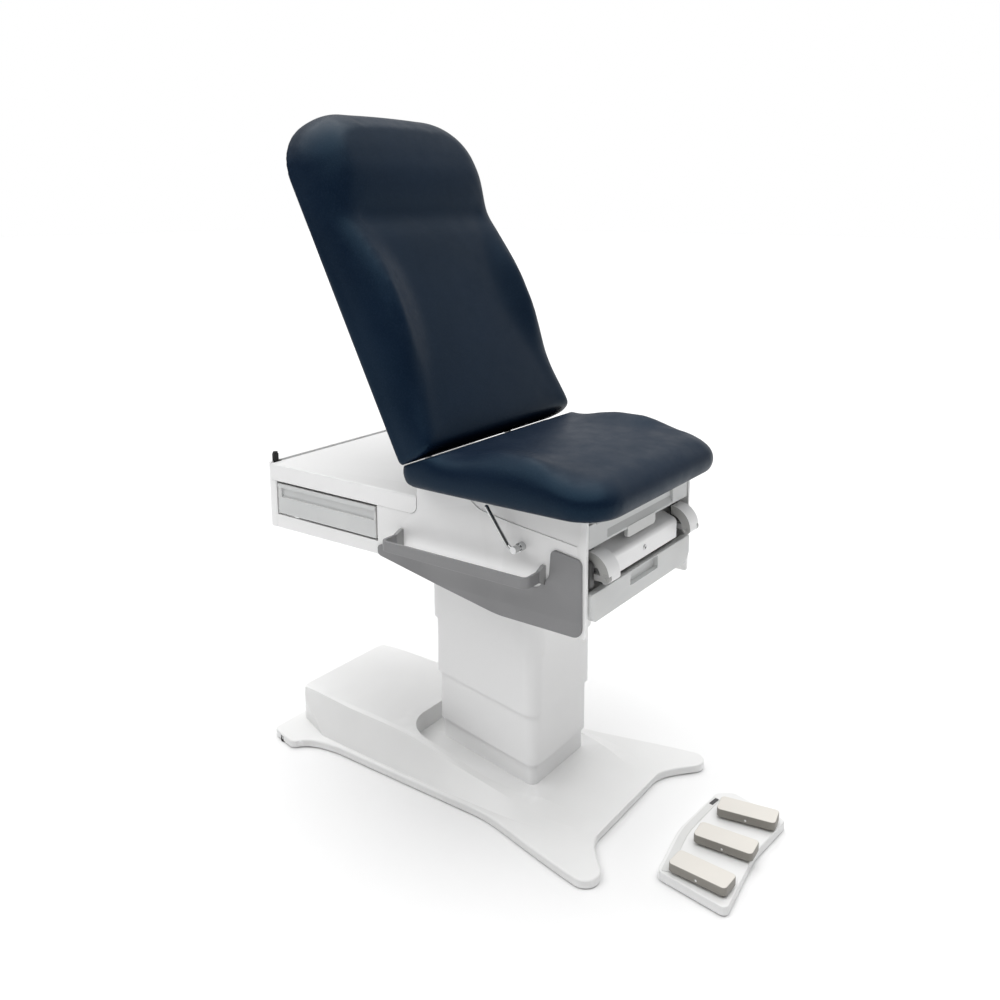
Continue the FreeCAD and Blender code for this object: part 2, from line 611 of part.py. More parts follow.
def foot_cup():
    """Quarter-round foot cup, its pivot end notched on the outside for the arm's tongue."""
    x0, x1 = -STIRRUP_X - 1 - CUP_WIDTH / 2, -STIRRUP_X - 1 + CUP_WIDTH / 2
    centre = ((x0, CUP_CENTRE_Y, STIRRUP_Z), (x1, CUP_CENTRE_Y, STIRRUP_Z))
    ring = rod(centre[0], centre[1], CUP_OUTER).cut(rod(centre[0], centre[1], CUP_INNER))
    quarter = ring.common(box(x0, x1, CUP_CENTRE_Y - 90, CUP_CENTRE_Y, STIRRUP_Z, STIRRUP_Z + 90))
    end = rod((x0, CUP_PIVOT_Y, STIRRUP_Z), (x1, CUP_PIVOT_Y, STIRRUP_Z), CUP_END_RADIUS)
    cup = fillet_at(fuse([quarter, end]), 3.0, lambda v: v.z > STIRRUP_Z + 30)
    notch_x = 0.4 - TONGUE_INNER
    y, z = CUP_PIVOT_Y, STIRRUP_Z
    notch = fuse([rod((x0 - 1, y, z), (notch_x, y, z), CUP_END_RADIUS + 0.6),
                  box(x0 - 1, notch_x, y - 40, y + 22, z - 20, z + 7.6)])
    bore = rod((x0 - 1, CUP_PIVOT_Y, STIRRUP_Z), (x1 + 1, CUP_PIVOT_Y, STIRRUP_Z), 4 + RUNNING_CLEARANCE)
    return cup.cut(notch).cut(bore)


def lever_parts():
    """Chrome lever on the left panel, with its fixed socket."""
    y, z = LEVER_PIVOT
    socket = rod((-260, y, z), (-276, y, z), 10.5)
    boss = rod((-276, y, z), (-282, y, z), 8.5)
    save("lever_socket", fuse([socket, boss]))
    knuckle = rod((-282.4, y, z), (-298, y, z), 8.5)
    low = (-292, y + 6, z - 2)
    bend = (-292, y + 18, z + 6)
    tip = (-286, y + 84, z + 86)
    arm = [rod(low, bend, 5), Part.makeSphere(5, V(*bend)), rod(bend, tip, 5), Part.makeSphere(5, V(*tip))]
    save("release_lever", fuse([knuckle] + arm))


# ---------------------------------------------------------------- foot control
def place_pedal(shape, index):
    """Move a shape drawn about the pedal pivot to its fanned-out place."""
    moved = shape.translated(V(PEDAL_X[index], PEDAL_Y, 0))
    moved.rotate(V(PEDAL_X[index], PEDAL_Y, 0), V(0, 0, 1), PEDAL_FAN[index])
    return moved


def pedal():
    """Rocker pedal: a shallow upturned tray that rocks on a pin at mid-length."""
    half, reach = PEDAL_WIDTH / 2, PEDAL_LENGTH / 2
    outer = rounded_box(-half, half, -reach, reach, 34, PEDAL_TOP, 11)
    outer = fillet_at(outer, 3.0, lambda v: v.z > PEDAL_TOP - 0.1)
    hollow = rounded_box(3 - half, half - 3, 3 - reach, reach - 3, 30, PEDAL_TOP - 3.5, 8)
    bore = rod((-half - 1, 0, PEDAL_AXIS_Z), (half + 1, 0, PEDAL_AXIS_Z), 3 + RUNNING_CLEARANCE)
    return outer.cut(hollow).cut(bore)


def foot_control_parts():
    plan = [(-214, -849), (-187, -663), (-20, -636), (170, -650), (198, -688), (164, -842), (0, -826)]
    base = plan_prism(plan, [14, 18, 300, 26, 26, 12, 300], 4, 26)
    reach = PEDAL_WIDTH / 2 - 0.5
    pin = rod((-reach, 0, PEDAL_AXIS_Z), (reach, 0, PEDAL_AXIS_Z), 3)
    post = fuse([box(-18, 18, -6, 6, 24, PEDAL_AXIS_Z + 4), pin])
    base = fuse([fillet_at(base, 3.0, lambda v: v.z > 25.9)] + [place_pedal(post, i) for i in range(3)])
    save("foot_control_base", base)
    for i, name in enumerate(("left", "centre", "right")):
        save("pedal_" + name, place_pedal(pedal(), i))
    strip = [(-184, -671), (-20, -644), (152, -654), (148, -672), (-20, -663), (-178, -690)]
    save("foot_control_strip", plan_prism(strip, [4, 300, 4, 4, 300, 4], 26, 27.4))
    corners = ((-185, -828), (-166, -684), (150, -676), (142, -820))
    feet = [Part.makeCylinder(9, 4, V(x, y, 0)) for x, y in corners]
    save("foot_control_feet", Part.makeCompound(feet))


os.makedirs("parts", exist_ok=True)
column_parts()
base_parts()
casing_parts()
structure_parts()
upholstery_parts()
hinge_parts()
drawer_parts()
foot_end_parts()
lever_parts()
foot_control_parts()
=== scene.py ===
import json
import math

import bpy
import numpy as np
from mathutils import Matrix, Vector

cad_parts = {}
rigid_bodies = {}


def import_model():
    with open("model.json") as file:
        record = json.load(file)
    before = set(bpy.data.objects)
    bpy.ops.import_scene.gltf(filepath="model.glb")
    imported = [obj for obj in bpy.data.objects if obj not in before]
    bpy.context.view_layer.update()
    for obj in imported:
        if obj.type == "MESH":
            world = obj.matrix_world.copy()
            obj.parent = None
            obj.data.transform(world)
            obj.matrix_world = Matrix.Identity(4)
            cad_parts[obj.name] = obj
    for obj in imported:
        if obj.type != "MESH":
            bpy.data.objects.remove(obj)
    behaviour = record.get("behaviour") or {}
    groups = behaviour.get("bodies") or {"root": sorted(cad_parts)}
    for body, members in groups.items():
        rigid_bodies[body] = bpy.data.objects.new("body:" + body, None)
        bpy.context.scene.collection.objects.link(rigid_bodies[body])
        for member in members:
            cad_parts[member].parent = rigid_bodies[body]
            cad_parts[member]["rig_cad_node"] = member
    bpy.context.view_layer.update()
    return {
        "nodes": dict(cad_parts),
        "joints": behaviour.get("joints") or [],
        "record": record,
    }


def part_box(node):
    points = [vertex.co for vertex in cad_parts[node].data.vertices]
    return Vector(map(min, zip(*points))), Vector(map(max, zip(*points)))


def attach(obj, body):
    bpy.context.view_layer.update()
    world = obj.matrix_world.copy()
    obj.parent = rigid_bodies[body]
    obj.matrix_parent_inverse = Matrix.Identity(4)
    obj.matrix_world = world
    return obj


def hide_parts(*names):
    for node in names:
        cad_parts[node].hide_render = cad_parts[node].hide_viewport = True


# Powered medical exam table.  Metres, +Z up, the foot end faces -Y, +X is the
# right-hand side of someone who looks towards the head end.

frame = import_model()
NODES = frame["nodes"]
JOINTS = {joint["name"]: joint for joint in frame["joints"]}

# Camera: its place and turn in the row frame, and the framing shift
CAMERA_PLACE = (-2.007, -1.575, 1.563)
CAMERA_AZIMUTH = -55.0
CAMERA_ELEVATION = 10.5
CAMERA_LENS = 34.85
CAMERA_SHIFT = (-0.03, -0.12)

# Studio: the room's light runs from dim to bright along one direction
ROOM_DIRECTION = (0.8, 0.05, 0.6)
ROOM_SPAN = (0.2, 0.95)
ROOM_LEVELS = (0.10, 0.95)
OVERHEAD_STRENGTH = 3.45
OVERHEAD_SPREAD = math.radians(90.0)
OVERHEAD_FROM = (-0.12, 0.14, 1.0)
FLOOR_HALF = 40.0

# Backrest: its tilt at rest, how much further it goes, and its pad's foot and underside when it lies flat
BACK_PIVOT = Vector(JOINTS["backrest_tilt"]["pos_m"])
BACK_ANGLE = math.radians(63.0)
BACK_TRAVEL = math.radians(5.0)
BACK_FOOT = 0.050
BACK_RIM = 0.871

# Crease between seat and backrest: the clearance, and how far both pads are overfilled before they are
# cut back to it
CREASE_GAP = 0.001
CREASE_SPARE = 0.007

# Small fittings and the rounding of hard edges
LOCK_HEIGHT = 0.730
INLAY_PLACE = (0.130, -0.6625)
FITTING_EDGE = 0.0002
NODE_EDGE = 0.0012

# Padding
EDGE_POWER = 2.2
EDGE_WELD = 0.0004
SIM_FRAMES = 20
SIM_PRESSURE = 4.0
SIM_VOXEL = 0.007
SIM_SKIN = 0.002


# ---------------------------------------------------------------- node helpers
def set_range(node, span, levels):
    """Make a Map Range node take span to levels."""
    for name, number in zip(("From Min", "From Max", "To Min", "To Max"), (*span, *levels)):
        node.inputs[name].default_value = number


class Graph:
    """A material's node tree, with short calls for the nodes used here."""

    def __init__(self, name):
        self.material = bpy.data.materials.new(name)
        self.material.use_nodes = True
        self.tree = self.material.node_tree
        self.shader = self.tree.nodes["Principled BSDF"]
        self.place = self.add("ShaderNodeTexCoord").outputs["Object"]

    def add(self, kind, **settings):
        node = self.tree.nodes.new(kind)
        for key, value in settings.items():
            setattr(node, key, value)
        return node

    def link(self, source, target):
        self.tree.links.new(source, target)

    def noise(self, scale, detail=3.0, roughness=0.55, stretch=None):
        node = self.add("ShaderNodeTexNoise")
        node.inputs["Scale"].default_value = scale
        node.inputs["Detail"].default_value = detail
        node.inputs["Roughness"].default_value = roughness
        self.link(self.stretched(stretch), node.inputs["Vector"])
        return node.outputs["Fac"]

    def cells(self, scale, feature="F1"):
        node = self.add("ShaderNodeTexVoronoi", feature=feature)
        node.inputs["Scale"].default_value = scale
        self.link(self.place, node.inputs["Vector"])
        return node.outputs["Distance"]

    def stretched(self, stretch):
        if stretch is None:
            return self.place
        node = self.add("ShaderNodeMapping")
        node.inputs["Scale"].default_value = stretch
        self.link(self.place, node.inputs["Vector"])
        return node.outputs["Vector"]

    def ramp(self, value, low, high, low_out, high_out):
        node = self.add("ShaderNodeMapRange")
        set_range(node, (low, high), (low_out, high_out))
        self.link(value, node.inputs["Value"])
        return node.outputs["Result"]

    def blend(self, factor, first, second):
        node = self.add("ShaderNodeMix", data_type="RGBA")
        self.link(factor, node.inputs["Factor"])
        sockets = [s for s in node.inputs if s.type == "RGBA"]
        for socket, value in zip(sockets, (first, second)):
            if isinstance(value, tuple):
                socket.default_value = (*value, 1.0)
            else:
                self.link(value, socket)
        return [s for s in node.outputs if s.type == "RGBA"][0]

    def math(self, operation, first, second):
        node = self.add("ShaderNodeMath", operation=operation)
        for socket, value in zip(node.inputs, (first, second)):
            if isinstance(value, float):
                socket.default_value = value
            else:
                self.link(value, socket)
        return node.outputs["Value"]

    def bump(self, height, distance, strength=1.0):
        node = self.add("ShaderNodeBump")
        node.inputs["Strength"].default_value = strength
        node.inputs["Distance"].default_value = distance
        self.link(height, node.inputs["Height"])
        self.link(node.outputs["Normal"], self.shader.inputs["Normal"])

    def facing(self, axis):
        """How squarely a surface faces along an axis of its object: 0 for not at all, 1 for fully."""
        split = self.add("ShaderNodeSeparateXYZ")
        self.link(self.add("ShaderNodeTexCoord").outputs["Normal"], split.inputs["Vector"])
        return self.math("ABSOLUTE", split.outputs[axis], 0.0)

    def edges(self, low, high):
        """1 on worn outer edges, 0 elsewhere."""
        point = self.add("ShaderNodeNewGeometry").outputs["Pointiness"]
        return self.ramp(point, low, high, 0.0, 1.0)

    def set(self, **values):
        for name, value in values.items():
            socket = self.shader.inputs[name.replace("_", " ")]
            if isinstance(value, bpy.types.NodeSocket):
                self.link(value, socket)
            else:
                socket.default_value = value


# ---------------------------------------------------------------- materials
def plastic(name, tone, shade, roughness, grain, depth, worn=None, coat=0.0):
    """Moulded plastic: faint mottling, fine grain and slightly polished edges."""
    g = Graph(name)
    colour = g.blend(g.ramp(g.noise(5.0), 0.3, 0.7, 0.0, 1.0), tone, shade)
    if worn is not None:
        colour = g.blend(g.edges(0.53, 0.62), colour, worn)
    g.set(Base_Color=colour)
    g.set(Roughness=g.ramp(g.noise(40.0), 0.3, 0.7, roughness - 0.05, roughness + 0.06))
    if coat:
        g.set(Coat_Weight=coat, Coat_Roughness=0.18)
    waviness = g.math("MULTIPLY", g.noise(12.0, 1.0), 2.0)
    g.bump(g.math("ADD", g.noise(grain, 2.0), waviness), depth)
    return g.material


def vinyl(name):
    """Soft upholstery vinyl: pebbled grain with fine creases and a satin sheen."""
    g = Graph(name)
    base = g.blend(g.ramp(g.noise(3.5), 0.3, 0.7, 0.0, 1.0), (0.0028, 0.0078, 0.020), (0.004, 0.0105, 0.026))
    g.set(Base_Color=g.blend(g.ramp(g.noise(260.0, 2.0), 0.45, 0.8, 0.0, 0.35), base, (0.014, 0.024, 0.045)))
    pebble = g.cells(620.0, "SMOOTH_F1")
    crease = g.math("MULTIPLY", g.noise(180.0, 4.0, 0.65, (1.0, 0.6, 1.0)), 0.8)
    pull = g.math("MULTIPLY", g.noise(9.0, 2.0), 1.6)
    g.bump(g.math("ADD", g.math("ADD", pebble, crease), pull), 0.00035, 0.55)
    g.set(Roughness=g.ramp(g.noise(22.0, 3.0), 0.3, 0.7, 0.36, 0.47))
    g.set(Specular_IOR_Level=0.21, Specular_Tint=(0.4, 0.76, 1.0, 1.0))
    return g.material


def painted(name, tone, shade, roughness):
    """Powder coat: fine orange peel, with the bare metal just showing on sharp edges."""
    g = Graph(name)
    colour = g.blend(g.ramp(g.noise(8.0), 0.3, 0.7, 0.0, 1.0), tone, shade)
    g.set(Base_Color=g.blend(g.edges(0.56, 0.7), colour, (0.45, 0.45, 0.46)))
    g.set(Roughness=g.ramp(g.noise(30.0), 0.3, 0.7, roughness - 0.05, roughness + 0.08))
    g.bump(g.noise(420.0, 2.0), 0.0003)
    return g.material


def brushed(name, tone, shade, stretch):
    """Machined steel with long brush marks."""
    g = Graph(name)
    marks = g.noise(60.0, 4.0, 0.6, stretch)
    g.set(Base_Color=g.blend(marks, tone, shade), Metallic=1.0)
    g.set(Roughness=g.ramp(marks, 0.3, 0.7, 0.24, 0.42))
    g.bump(marks, 0.0001)
    return g.material


def chrome(name):
    """Bright plate with faint wear."""
    g = Graph(name)
    g.set(Base_Color=g.blend(g.noise(20.0), (0.50, 0.51, 0.52), (0.62, 0.62, 0.62)), Metallic=1.0)
    g.set(Roughness=g.ramp(g.noise(90.0, 4.0), 0.45, 0.75, 0.06, 0.2))
    g.bump(g.noise(240.0), 0.00003)
    return g.material


def two_tone(name, main, side, axis, low, high, roughness):
    """Moulding with one tone on the faces along an axis and another on the rest. On the pedals the darker
    tone of the sides is partly their own colour and partly painted shade.
    """
    g = Graph(name)
    tone = g.blend(g.ramp(g.facing(axis), low, high, 0.0, 1.0), side, main)
    shade = g.blend(g.ramp(g.noise(6.0), 0.3, 0.7, 0.0, 0.12), tone, (0.5, 0.5, 0.48))
    g.set(Base_Color=shade, Roughness=g.ramp(g.noise(40.0), 0.3, 0.7, roughness - 0.05, roughness + 0.06))
    g.bump(g.noise(620.0, 2.0), 0.00015)
    return g.material


def rubber(name):
    """Matt black rubber with a fine pitted skin."""
    g = Graph(name)
    g.set(Base_Color=g.blend(g.noise(30.0), (0.016, 0.016, 0.017), (0.035, 0.034, 0.033)))
    g.set(Roughness=g.ramp(g.noise(60.0), 0.3, 0.7, 0.7, 0.9))
    g.bump(g.cells(900.0), 0.0002)
    return g.material


MATERIALS = {
    "white_casing": plastic("white_casing", (0.77, 0.77, 0.765), (0.80, 0.80, 0.795), 0.34, 520.0, 0.00008,
                            (0.88, 0.88, 0.88), 0.15),
    "grey_trim": plastic("grey_trim", (0.20, 0.20, 0.205), (0.235, 0.235, 0.24), 0.46, 700.0, 0.0002,
                         (0.33, 0.33, 0.33)),
    "light_grey_plastic": plastic("light_grey_plastic", (0.60, 0.61, 0.61), (0.65, 0.66, 0.655), 0.42, 640.0,
                                  0.0001, (0.66, 0.66, 0.65)),
    "vinyl": vinyl("navy_vinyl"),
    "dark_plastic": plastic("dark_plastic", (0.02, 0.02, 0.022), (0.032, 0.032, 0.035), 0.5, 600.0, 0.0002,
                            (0.07, 0.07, 0.07)),
    "painted_steel": painted("painted_steel", (0.52, 0.52, 0.52), (0.58, 0.58, 0.575), 0.42),
    "arm_grey": painted("arm_grey", (0.33, 0.33, 0.325), (0.38, 0.38, 0.37), 0.42),
    "bare_steel": brushed("bare_steel", (0.42, 0.42, 0.43), (0.6, 0.6, 0.6), (1.0, 1.0, 0.03)),
    "chrome": chrome("chrome_plate"),
    "rubber": rubber("black_rubber"),
    # pedal_plastic: warm white tops; the dark brown-grey sides are partly the plastic's own colour and partly
    # painted shade for the less lit side faces
    "pedal_plastic": two_tone("pedal_plastic", (0.72, 0.69, 0.64), (0.24, 0.225, 0.2), "Z", 0.55, 0.9, 0.46),
    "cup_plastic": two_tone("cup_plastic", (0.36, 0.36, 0.35), (0.82, 0.82, 0.82), "X", 0.6, 0.92, 0.38),
    "tray_plastic": plastic("tray_plastic", (0.62, 0.62, 0.61), (0.68, 0.68, 0.66), 0.5, 500.0, 0.0002),
}


def dress(piece, slot):
    """Give a piece one material."""
    piece.data.materials.clear()
    piece.data.materials.append(MATERIALS[slot])


def soften(piece, width, segments=2, angle=35.0):
    """Round a hard piece's edges and keep its flat faces flat."""
    bevel = piece.modifiers.new("edge_round", "BEVEL")
    bevel.width = width
    bevel.segments = segments
    bevel.limit_method = "ANGLE"
    bevel.angle_limit = math.radians(angle)
    bevel.harden_normals = True
    piece.data.shade_smooth()


# ---------------------------------------------------------------- mesh helpers
def new_piece(name, vertices, faces, slot=None, smooth=True):
    mesh = bpy.data.meshes.new(name)
    mesh.from_pydata([tuple(v) for v in vertices], [], [tuple(f) for f in faces])
    mesh.validate()
    mesh.update()
    piece = bpy.data.objects.new(name, mesh)
    bpy.context.scene.collection.objects.link(piece)
    if smooth:
        mesh.shade_smooth()
    if slot is not None:
        dress(piece, slot)
    return piece


def apply_modifiers(piece):
    """Bake a piece's modifiers into its mesh."""
    depsgraph = bpy.context.evaluated_depsgraph_get()
    mesh = bpy.data.meshes.new_from_object(piece.evaluated_get(depsgraph))
    piece.modifiers.clear()
    old = piece.data
    piece.data = mesh
    bpy.data.meshes.remove(old)


def coordinates(mesh):
    co = np.empty(len(mesh.vertices) * 3, np.float32)
    mesh.vertices.foreach_get("co", co)
    return co.reshape(-1, 3)


def smoothstep(value, low, high):
    t = np.clip((value - low) / (high - low), 0.0, 1.0)
    return t * t * (3.0 - 2.0 * t)


def hump(value, centre, width):
    return np.exp(-((value - centre) / width) ** 2)


def edge_distance(x, y, half, y0, y1, foot_radius, head_radius):
    """How far plan points are inside a rounded rectangle whose two ends have their own corner radii."""
    middle = (y0 + y1) / 2.0
    radius = np.where(y < middle, foot_radius, head_radius)
    qx = np.abs(x) - (half - radius)
    qy = np.abs(y - middle) - ((y1 - y0) / 2.0 - radius)
    outside = np.hypot(np.maximum(qx, 0.0), np.maximum(qy, 0.0))
    return -(outside + np.minimum(np.maximum(qx, qy), 0.0) - radius)


# ---------------------------------------------------------------- cushions
def rounded(share):
    """Height of a rounded edge, 0 to 1, at a share of the way in from it."""
    return (1.0 - (1.0 - np.clip(share, 0.0, 1.0)) ** EDGE_POWER) ** (1.0 / EDGE_POWER)


class Pad:
    """A crowned cushion drawn flat, inside a rounded outline from y0 to y1.

    seam(x, y) gives the height of the seam round its side. top_round(y) and bottom_round are how far in from
    the outline the top and the bottom reach their full height.
    """

    def __init__(self, half, y0, y1, foot_radius, head_radius, seam, top_round, bottom_round,
                 columns, rows):
        self.half, self.y0, self.y1 = half, y0, y1
        self.foot_radius, self.head_radius = foot_radius, head_radius
        self.seam, self.top_round, self.bottom_round = seam, top_round, bottom_round
        self.columns, self.rows = columns, rows

    def row_half(self, y):
        """Half the outline's width at y."""
        inset = np.where(y < (self.y0 + self.y1) / 2.0, self.foot_radius, self.head_radius)
        gap = np.minimum(y - self.y0, self.y1 - y)
        cut = np.clip(inset - gap, 0.0, inset)
        return self.half - inset + np.sqrt(np.maximum(inset ** 2 - cut ** 2, 0.0))

    def mesh(self, name, top, bottom):
        """Closed mesh of the pad. top and bottom give the heights, at plan points, of its two faces."""
        across = np.sin(np.linspace(-math.pi / 2.0, math.pi / 2.0, self.columns + 1))
        along = (1.0 - np.cos(np.linspace(0.0, math.pi, self.rows + 1))) / 2.0
        y = (self.y0 + (self.y1 - self.y0) * along)[:, None] * np.ones(self.columns + 1)
        x = self.row_half(y) * across[None, :]
        inside = edge_distance(x, y, self.half, self.y0, self.y1, self.foot_radius, self.head_radius)
        inside = np.clip(inside, 0.0, 1.0)
        inside[0, :] = inside[-1, :] = 0.0
        inside[:, 0] = inside[:, -1] = 0.0
        seam = self.seam(x, y)
        upper = seam + (top(x, y) - seam) * rounded(inside / self.top_round(y))
        lower = seam + (bottom(x, y) - seam) * rounded(inside / self.bottom_round)
        sheets = [np.stack([x, y, height], -1).reshape(-1, 3) for height in (upper, lower)]
        index = np.arange(x.size).reshape(x.shape)
        corners = [index[:-1, :-1], index[:-1, 1:], index[1:, 1:], index[1:, :-1]]
        quads = np.stack(corners, -1).reshape(-1, 4)
        faces = np.concatenate([quads, quads[:, ::-1] + x.size])
        piece = new_piece(name, np.concatenate(sheets), faces, "vinyl")
        weld = piece.modifiers.new("weld", "WELD")
        weld.merge_threshold = EDGE_WELD
        apply_modifiers(piece)
        return piece


def keep_within(piece, limit):
    """Move a piece's points by limit, which changes an array of points in place."""
    points = coordinates(piece.data)
    limit(points)
    piece.data.vertices.foreach_set("co", points.ravel())
    piece.data.update()


def inflate(piece, cap, held, limit):
    """Fill a closed pad with pressure as cloth, then smooth it and keep it clear of its neighbour.

    cap is the furthest that a point may move. held gives 0 to 1 for how firmly each point is kept, and
    limit is as in keep_within.
    """
    remesh = piece.modifiers.new("remesh", "REMESH")
    remesh.mode = "VOXEL"
    remesh.voxel_size = SIM_VOXEL
    apply_modifiers(piece)
    start = coordinates(piece.data)
    group = piece.vertex_groups.new(name="held")
    for index, weight in enumerate(held(start)):
        group.add([index], float(weight), "REPLACE")
    cloth = piece.modifiers.new("fill", "CLOTH")
    settings = cloth.settings
    settings.use_pressure = True
    settings.uniform_pressure_force = SIM_PRESSURE
    settings.effector_weights.gravity = 0.0
    settings.vertex_group_mass = "held"
    settings.tension_stiffness = settings.compression_stiffness = 20.0
    settings.bending_stiffness = 2.0
    settings.quality = 4
    cloth.point_cache.frame_start = 1
    cloth.point_cache.frame_end = SIM_FRAMES
    for number in range(1, SIM_FRAMES + 1):
        bpy.context.scene.frame_set(number)
        bpy.context.view_layer.update()
    depsgraph = bpy.context.evaluated_depsgraph_get()
    moved = coordinates(piece.evaluated_get(depsgraph).data) - start
    piece.modifiers.clear()
    piece.vertex_groups.clear()
    bpy.context.scene.frame_set(1)
    length = np.linalg.norm(moved, axis=1, keepdims=True)
    moved *= np.minimum(1.0, cap / np.maximum(length, 1e-9))
    piece.data.vertices.foreach_set("co", (start + moved).ravel())
    piece.data.update()
    relax = piece.modifiers.new("relax", "SMOOTH")
    relax.factor = 0.5
    relax.iterations = 16
    apply_modifiers(piece)
    keep_within(piece, limit)
    divide = piece.modifiers.new("divide", "SUBSURF")
    divide.levels = divide.render_levels = 1
    apply_modifiers(piece)
    keep_within(piece, limit)
    piece.data.shade_smooth()
    dress(piece, "vinyl")


def crease_ceiling(y):
    """How high the seat may stand at y and still clear the backrest's foot at every tilt.

    Behind, that is an arc about the pivot, inside the foot's lower corner. In front, it is the foot's face at
    the steepest tilt.
    """
    across = y - BACK_PIVOT.y
    foot = BACK_FOOT - BACK_PIVOT.y
    lip = math.hypot(foot, BACK_RIM - BACK_PIVOT.z) - CREASE_GAP
    steepest = BACK_ANGLE + BACK_TRAVEL
    arc = np.sqrt(np.maximum(lip ** 2 - across ** 2, 0.0))
    face = (foot - CREASE_GAP - across * math.cos(steepest)) / math.sin(steepest)
    return BACK_PIVOT.z + np.maximum(arc, face)


def seat_cushion():
    low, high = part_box("seat_cushion")
    half = high.x
    bottom = low.z + SIM_SKIN

    def seam(x, y):
        return 0.903 + 0.010 * smoothstep(y, -0.12, 0.0)

    def top(x, y):
        """A nearly flat middle between two soft bolsters, falling away at the front and to the crease."""
        spare = CREASE_SPARE * (1.0 - smoothstep(-y, 0.05, 0.14))
        rear = 0.932 + spare + 0.030 * smoothstep(-y, 0.0, 0.09)
        fall = smoothstep(-y, 0.34, 0.575)
        crest = rear + 0.028 * smoothstep(-y, 0.06, 0.30) - 0.036 * fall
        crown = 0.003 * (1.0 - (x / half) ** 2)
        panel = rear + 0.008 * smoothstep(-y, 0.06, 0.30) - 0.018 * fall + crown
        bulge = smoothstep(-y, 0.06, 0.26) * (1.0 - smoothstep(-y, 0.34, 0.52))
        inner = 0.30 - 0.08 * bulge
        return panel + (crest - panel) * smoothstep(np.abs(x), inner - 0.07, inner + 0.06)

    def under(x, y):
        return np.full_like(x, bottom)

    def rounding(y):
        return 0.014 + 0.058 * smoothstep(-y, 0.04, 0.20)

    def limit(points):
        points[:, 2] = np.minimum(points[:, 2], crease_ceiling(points[:, 1]))

    front, rear_end = low.y - SIM_SKIN, high.y - SIM_SKIN
    pad = Pad(half - SIM_SKIN, front, rear_end, 0.108, 0.025, seam, rounding, 0.042, 90, 80)
    piece = pad.mesh("seat_upholstery", top, under)
    inflate(piece, 0.004, lambda p: (p[:, 2] < bottom + 0.012).astype(float), limit)
    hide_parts("seat_cushion")
    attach(piece, "table_body")


def backrest_cushion():
    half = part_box("backrest_cushion")[1].x
    start, end = BACK_FOOT - CREASE_SPARE, 0.989
    head_radius = 0.17

    def seam(x, y):
        return BACK_RIM + 0.004 + 0.008 * smoothstep(y, 0.80, 0.98)

    def crest(y):
        """Height of the side bolsters, fullest at the waist and swelling again at the head."""
        waist = 0.039 * smoothstep(y, 0.04, 0.40) * (1.0 - smoothstep(y, 0.43, 0.70))
        return 0.978 + waist + 0.0165 * smoothstep(y, 0.43, 0.70) + 0.009 * hump(y, 0.765, 0.055)

    def panel(x, y):
        """Height of the middle panel: the flat back, the neck and the raised head pad."""
        rise = 0.005 * smoothstep(y, 0.10, 0.30)
        neck = 0.010 * hump(y, 0.662, 0.040)
        head = 0.033 * smoothstep(y, 0.66, 0.80) - 0.014 * smoothstep(y, 0.83, 0.98)
        return 0.973 + rise - neck + head + 0.004 * (1.0 - (x / half) ** 2)

    def top(x, y):
        waist = smoothstep(y, 0.10, 0.42) * (1.0 - smoothstep(y, 0.48, 0.74))
        inner = 0.300 - 0.075 * waist
        middle = panel(x, y)
        return middle + (crest(y) - middle) * smoothstep(np.abs(x), inner - 0.065, inner + 0.075)

    def under(x, y):
        """The back of the pad, with a rim that hides the edge of its board."""
        inside = edge_distance(x, y, half, start, end, 0.014, head_radius)
        return BACK_RIM + 0.0065 * smoothstep(inside, 0.008, 0.016)

    def rounding(y):
        return 0.026 + 0.052 * smoothstep(y, 0.07, 0.25)

    def limit(points):
        points[:, 1] = np.maximum(points[:, 1], BACK_FOOT)
        points[:, 2] = np.maximum(points[:, 2], BACK_RIM)

    pad = Pad(half + 0.001, start, end, 0.014, head_radius, seam, rounding, 0.004, 90, 120)
    piece = pad.mesh("backrest_upholstery", top, under)
    inflate(piece, 0.004, lambda p: (p[:, 2] < BACK_RIM + 0.014).astype(float), limit)
    points = coordinates(piece.data)
    points[:, 1] -= 0.014 * (points[:, 0] / half) ** 2 * smoothstep(points[:, 1], 0.74, 0.98)
    piece.data.vertices.foreach_set("co", points.ravel())
    to_pivot = Matrix.Translation(BACK_PIVOT)
    piece.data.transform(to_pivot @ Matrix.Rotation(BACK_ANGLE, 4, "X") @ to_pivot.inverted())
    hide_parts("backrest_cushion")
    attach(piece, "backrest")


def extension_cushion():
    low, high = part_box("leg_extension_pad")
    height = high.z - low.z

    def seam(x, y):
        return np.full_like(x, low.z + 0.4 * height)

    def top(x, y):
        return np.full_like(x, high.z - 0.004)

    def under(x, y):
        return np.full_like(x, low.z + SIM_SKIN)

    def rounding(y):
        return np.full_like(y, 0.022)

    def limit(points):
        points[:, 2] = np.minimum(points[:, 2], high.z)

    front, rear = low.y + SIM_SKIN, high.y - SIM_SKIN
    pad = Pad(high.x - SIM_SKIN, front, rear, 0.018, 0.018, seam, rounding, 0.01, 60, 60)
    piece = pad.mesh("leg_extension_upholstery", top, under)
    inflate(piece, 0.002, lambda p: (p[:, 2] < low.z + 0.01).astype(float), limit)
    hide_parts("leg_extension_pad")
    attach(piece, "leg_extension")


